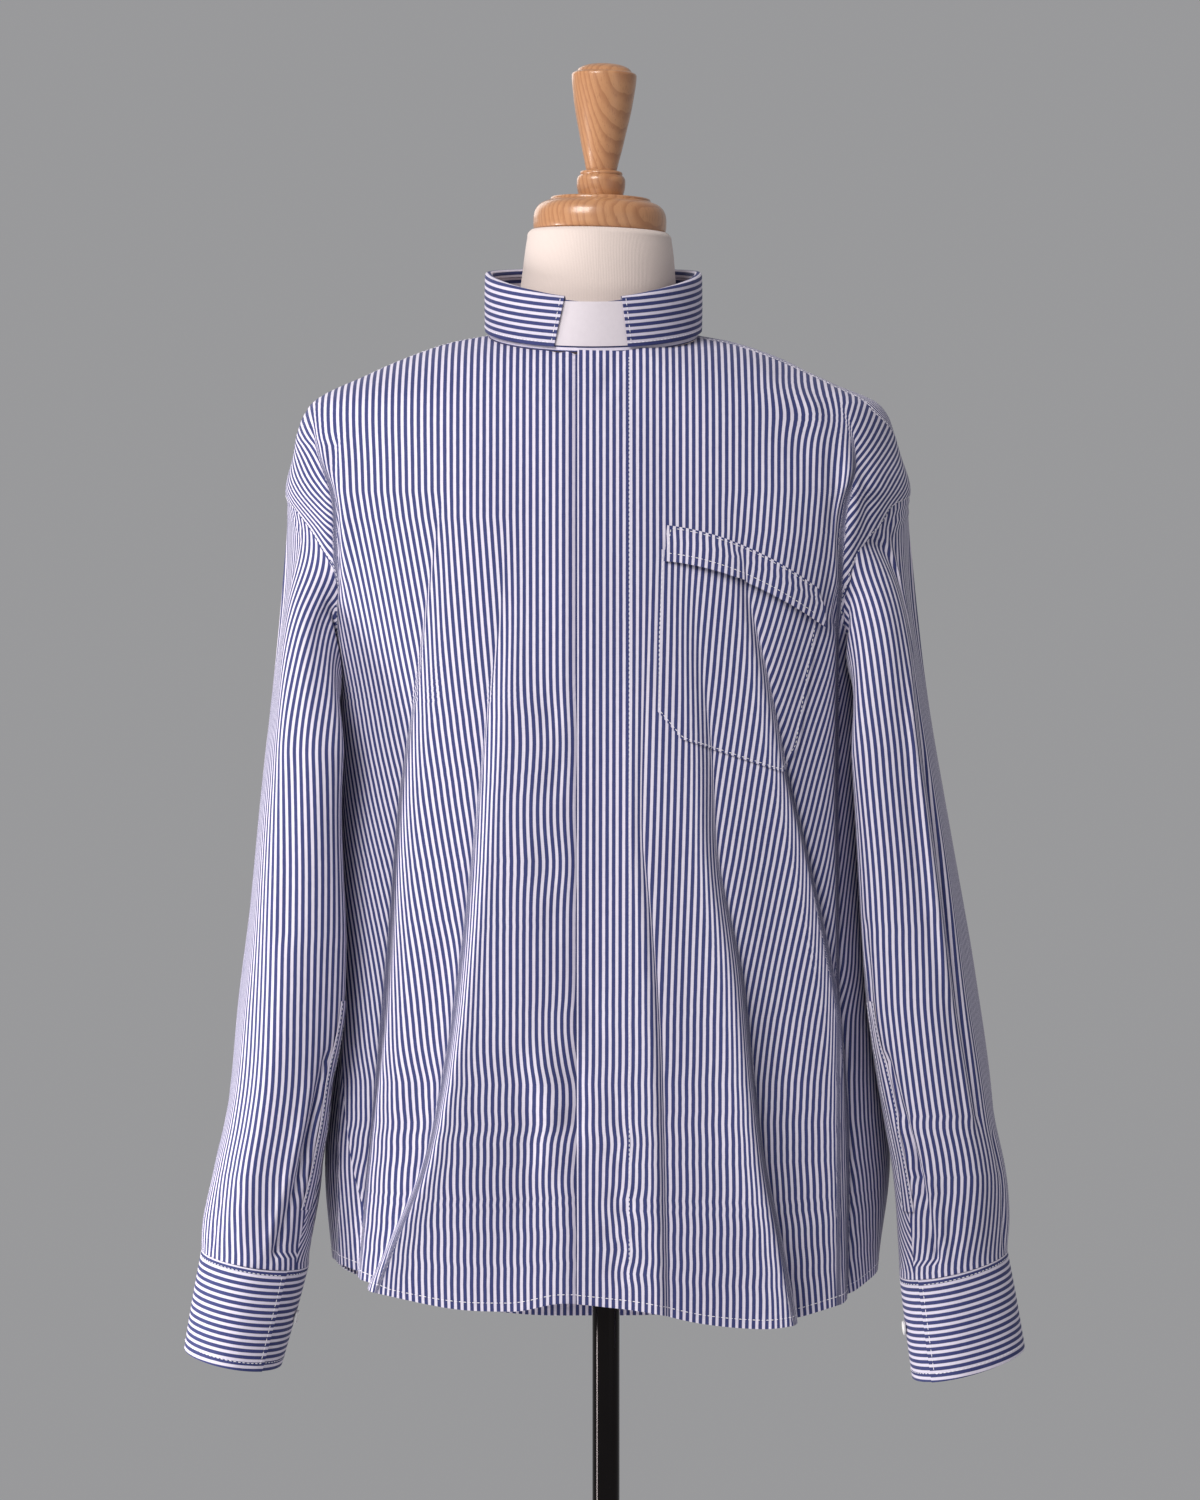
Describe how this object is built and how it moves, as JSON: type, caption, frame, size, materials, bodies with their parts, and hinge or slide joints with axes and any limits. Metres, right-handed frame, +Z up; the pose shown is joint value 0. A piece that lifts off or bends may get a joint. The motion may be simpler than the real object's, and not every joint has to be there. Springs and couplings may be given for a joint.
{
  "type": "clergy shirt on a dress form stand",
  "caption": "Long-sleeved striped clergy shirt with a white tab collar, fly front and chest pocket, on a limbless dress form with a pole and round foot",
  "frame": {"origin": "middle of the foot's underside, on the floor", "axes": "+X to the wearer's left, -Y to the front, +Z up"},
  "size_m": [0.6416, 0.3382, 1.6629],
  "materials": {
    "shirting": "white shirting with narrow navy stripes",
    "tab_white": "smooth white tab",
    "button_white": "pearly white",
    "form_jersey": "cream ribbed jersey",
    "turned_wood": "varnished blond wood",
    "polished_steel": "polished"
  },
  "bodies": {
    "root": {"back": "shirting", "collar": "shirting", "cuff_button_left": "button_white", "cuff_button_right": "button_white", "cuff_left": "shirting", "cuff_right": "shirting", "finial": "turned_wood", "foot": "polished_steel", "form_torso": "form_jersey", "front_left": "shirting", "front_right": "shirting", "neck_cap": "turned_wood", "neckband": "shirting", "placket_left": "shirting", "placket_right": "shirting", "pocket": "shirting", "pocket_flap": "shirting", "pole": "polished_steel", "sleeve_left": "shirting", "sleeve_right": "shirting", "tab_insert": "tab_white", "yoke": "shirting"}
  },
  "joints": []
}
